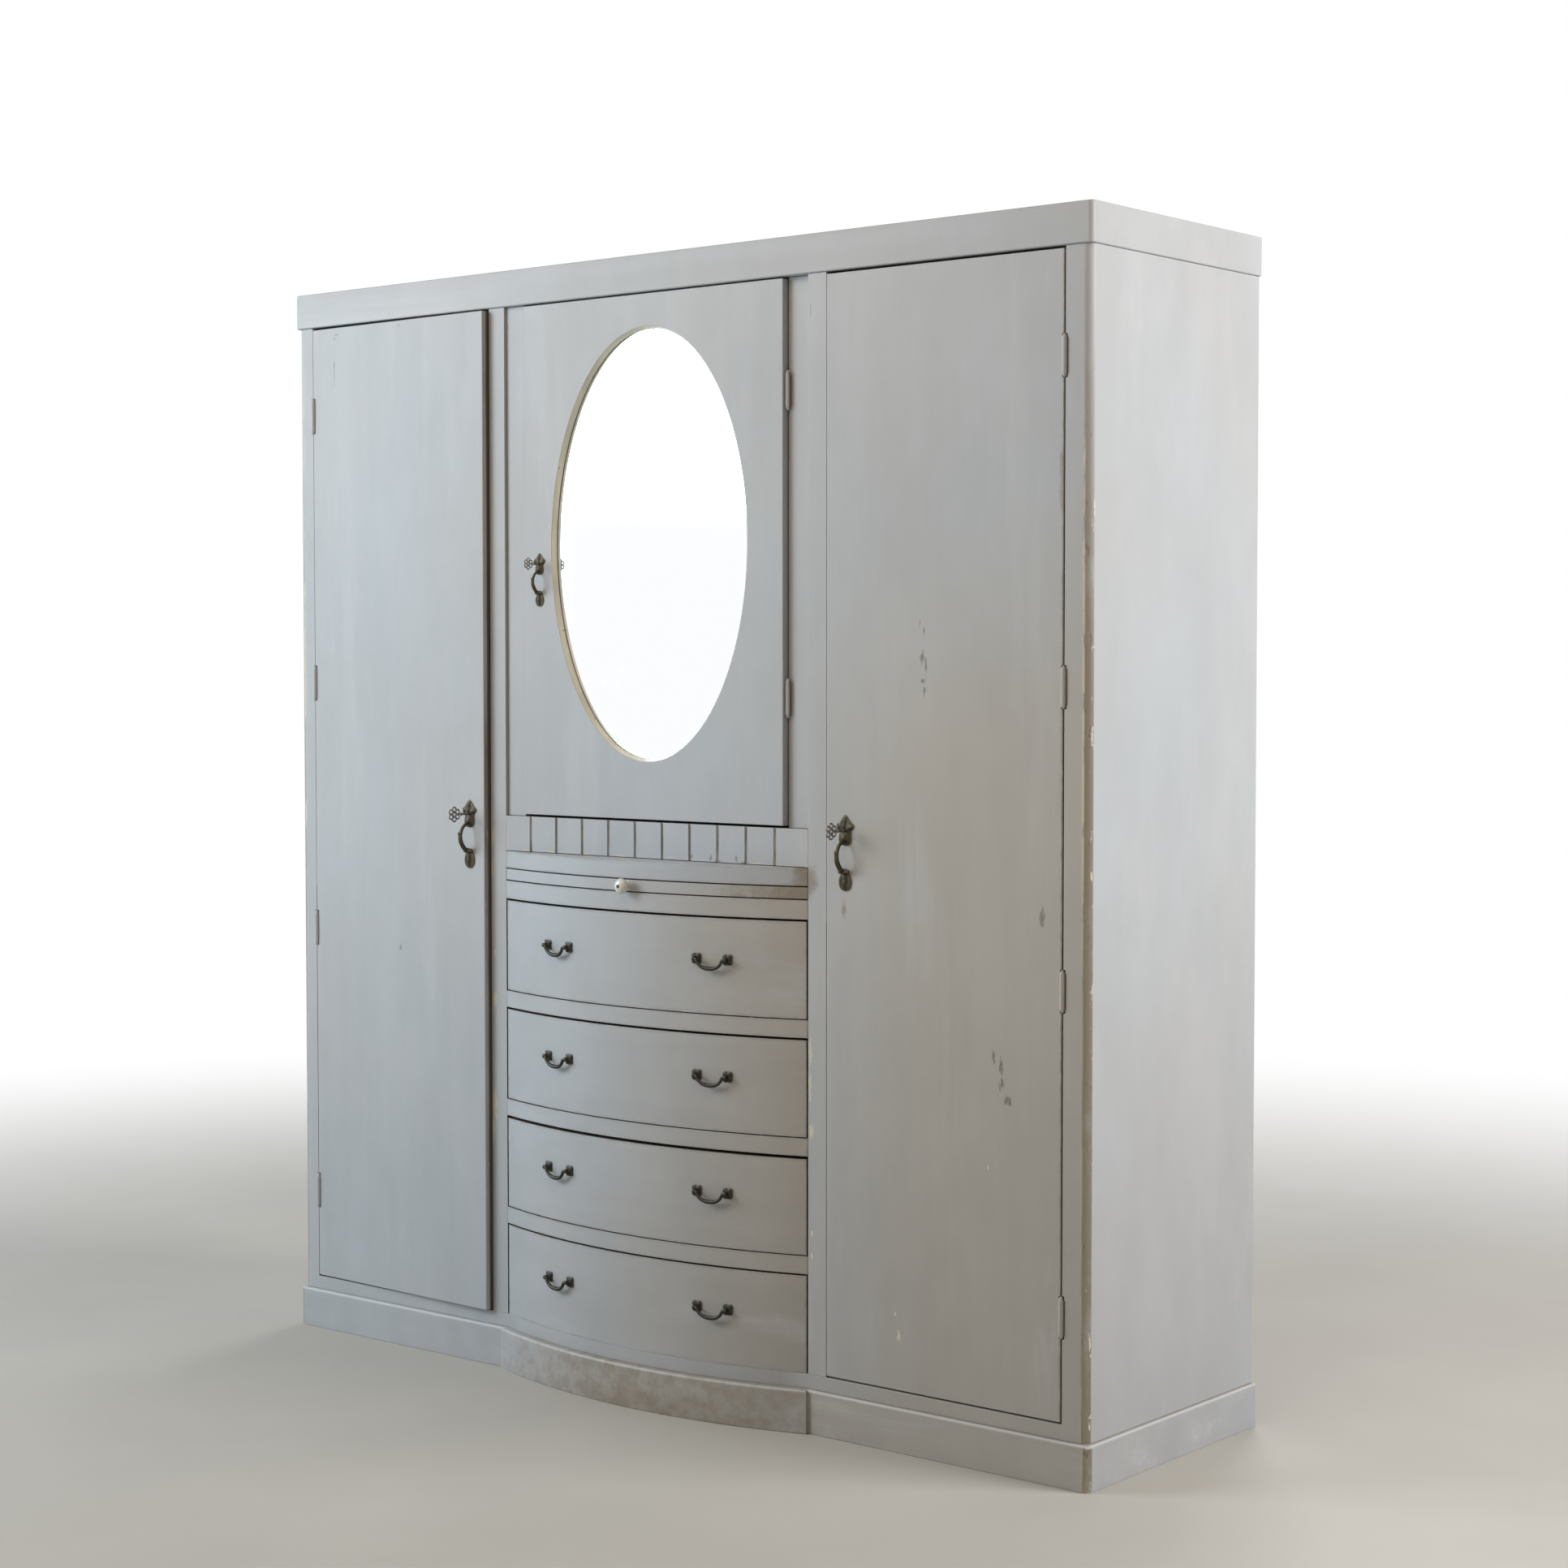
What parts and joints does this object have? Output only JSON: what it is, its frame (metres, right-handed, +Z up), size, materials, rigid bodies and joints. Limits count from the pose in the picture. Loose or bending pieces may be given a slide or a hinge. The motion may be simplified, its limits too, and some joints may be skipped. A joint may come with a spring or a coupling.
{
  "type": "linen cupboard",
  "caption": "Painted wooden cupboard with tall wing doors, an oval-mirror door, a pull-out writing slide and bow-fronted drawers between them on a plinth.",
  "frame": {"origin": "on the floor, at the middle of the whole cupboard's bounding box", "axes": "+Z up, +X to the right seen from the front, +Y from the front to the back"},
  "size_m": [1.798, 0.58, 1.96],
  "materials": {
    "grey_paint": "brushed satin grey paint, worn through at the edges",
    "bare_wood": "unpainted aged wood",
    "dark_bronze": "dark bronzed cast metal",
    "aged_iron": "aged iron, partly painted over",
    "white_porcelain": "glossy white glaze",
    "mirror_silver": "silvered glass with small edge spots"
  },
  "bodies": {
    "case": {"back_panel": "bare_wood", "chest_top": "grey_paint", "cornice_frame": "grey_paint", "cupboard_floor": "bare_wood", "cupboard_shelf": "bare_wood", "drawer_rail_1": "grey_paint", "drawer_rail_2": "grey_paint", "drawer_rail_3": "grey_paint", "floor_board": "grey_paint", "fluted_frieze": "grey_paint", "left_filler_strip": "grey_paint", "left_hinge_1": "aged_iron", "left_hinge_2": "aged_iron", "left_hinge_3": "aged_iron", "left_hinge_4": "aged_iron", "left_partition": "grey_paint", "left_shelf_1": "bare_wood", "left_shelf_2": "bare_wood", "left_side_panel": "grey_paint", "mirror_hinge_1": "aged_iron", "mirror_hinge_2": "aged_iron", "plinth_frame": "grey_paint", "right_filler_strip": "grey_paint", "right_hinge_1": "aged_iron", "right_hinge_2": "aged_iron", "right_hinge_3": "aged_iron", "right_hinge_4": "aged_iron", "right_partition": "grey_paint", "right_shelf_1": "bare_wood", "right_shelf_2": "bare_wood", "right_side_panel": "grey_paint", "roof_board": "bare_wood", "slide_rail": "grey_paint"},
    "drawer_1": {"drawer_1": "grey_paint"},
    "drawer_1_left_bail": {"drawer_1_left_bail": "dark_bronze"},
    "drawer_1_right_bail": {"drawer_1_right_bail": "dark_bronze"},
    "drawer_2": {"drawer_2": "grey_paint"},
    "drawer_2_left_bail": {"drawer_2_left_bail": "dark_bronze"},
    "drawer_2_right_bail": {"drawer_2_right_bail": "dark_bronze"},
    "drawer_3": {"drawer_3": "grey_paint"},
    "drawer_3_left_bail": {"drawer_3_left_bail": "dark_bronze"},
    "drawer_3_right_bail": {"drawer_3_right_bail": "dark_bronze"},
    "drawer_4": {"drawer_4": "grey_paint"},
    "drawer_4_left_bail": {"drawer_4_left_bail": "dark_bronze"},
    "drawer_4_right_bail": {"drawer_4_right_bail": "dark_bronze"},
    "left_door": {"left_door": "grey_paint", "left_door_handle": "dark_bronze"},
    "left_door_key": {"left_door_key": "aged_iron"},
    "mirror_door": {"mirror_backing": "bare_wood", "mirror_door": "grey_paint", "mirror_door_handle": "dark_bronze", "mirror_glass": "mirror_silver"},
    "mirror_door_key": {"mirror_door_key": "aged_iron"},
    "right_door": {"right_door": "grey_paint", "right_door_handle": "dark_bronze"},
    "right_door_key": {"right_door_key": "aged_iron"},
    "writing_slide": {"slide_knob": "white_porcelain", "writing_slide": "grey_paint"}
  },
  "joints": [
    {"name": "left_door_hinge", "type": "hinge", "parent": "case", "child": "left_door", "pos_m": [-0.8509, -0.2073, 0.997], "axis": [0, 0, -1], "range_deg": [-1.8, 105]},
    {"name": "right_door_hinge", "type": "hinge", "parent": "case", "child": "right_door", "pos_m": [0.8509, -0.2073, 0.997], "axis": [0, 0, 1], "range_deg": [0, 105]},
    {"name": "mirror_door_hinge", "type": "hinge", "parent": "case", "child": "mirror_door", "pos_m": [0.2965, -0.1983, 1.4455], "axis": [0, 0, 1], "range_deg": [0, 100]},
    {"name": "writing_slide_run", "type": "slide", "parent": "case", "child": "writing_slide", "axis": [0, -1, 0], "range_m": [0, 0.28]},
    {"name": "drawer_1_run", "type": "slide", "parent": "case", "child": "drawer_1", "axis": [0, -1, 0], "range_m": [0, 0.36]},
    {"name": "drawer_2_run", "type": "slide", "parent": "case", "child": "drawer_2", "axis": [0, -1, 0], "range_m": [0, 0.36]},
    {"name": "drawer_3_run", "type": "slide", "parent": "case", "child": "drawer_3", "axis": [0, -1, 0], "range_m": [0, 0.36]},
    {"name": "drawer_4_run", "type": "slide", "parent": "case", "child": "drawer_4", "axis": [0, -1, 0], "range_m": [0, 0.36]},
    {"name": "drawer_1_left_bail_swing", "type": "hinge", "parent": "drawer_1", "child": "drawer_1_left_bail", "pos_m": [-0.17784, -0.26102, 0.7749], "axis": [-0.9859, 0.1673, 0], "range_deg": [0, 80]},
    {"name": "drawer_1_right_bail_swing", "type": "hinge", "parent": "drawer_1", "child": "drawer_1_right_bail", "pos_m": [0.17784, -0.26102, 0.7749], "axis": [-0.9859, -0.1673, 0], "range_deg": [0, 80]},
    {"name": "drawer_2_left_bail_swing", "type": "hinge", "parent": "drawer_2", "child": "drawer_2_left_bail", "pos_m": [-0.17784, -0.26102, 0.5801], "axis": [-0.9859, 0.1673, 0], "range_deg": [0, 80]},
    {"name": "drawer_2_right_bail_swing", "type": "hinge", "parent": "drawer_2", "child": "drawer_2_right_bail", "pos_m": [0.17784, -0.26102, 0.5801], "axis": [-0.9859, -0.1673, 0], "range_deg": [0, 80]},
    {"name": "drawer_3_left_bail_swing", "type": "hinge", "parent": "drawer_3", "child": "drawer_3_left_bail", "pos_m": [-0.17784, -0.26102, 0.3853], "axis": [-0.9859, 0.1673, 0], "range_deg": [0, 80]},
    {"name": "drawer_3_right_bail_swing", "type": "hinge", "parent": "drawer_3", "child": "drawer_3_right_bail", "pos_m": [0.17784, -0.26102, 0.3853], "axis": [-0.9859, -0.1673, 0], "range_deg": [0, 80]},
    {"name": "drawer_4_left_bail_swing", "type": "hinge", "parent": "drawer_4", "child": "drawer_4_left_bail", "pos_m": [-0.17784, -0.26102, 0.1905], "axis": [-0.9859, 0.1673, 0], "range_deg": [0, 80]},
    {"name": "drawer_4_right_bail_swing", "type": "hinge", "parent": "drawer_4", "child": "drawer_4_right_bail", "pos_m": [0.17784, -0.26102, 0.1905], "axis": [-0.9859, -0.1673, 0], "range_deg": [0, 80]},
    {"name": "left_door_key_turn", "type": "hinge", "parent": "left_door", "child": "left_door_key", "pos_m": [-0.4239, -0.22042, 0.996], "axis": [-0.0314, -0.9995, 0], "range_deg": [0, 180]},
    {"name": "right_door_key_turn", "type": "hinge", "parent": "right_door", "child": "right_door_key", "pos_m": [0.4237, -0.207, 0.996], "axis": [0, -1, 0], "range_deg": [0, 180]},
    {"name": "mirror_door_key_turn", "type": "hinge", "parent": "mirror_door", "child": "mirror_door_key", "pos_m": [-0.261, -0.206, 1.4405], "axis": [0, -1, 0], "range_deg": [0, 180]}
  ]
}
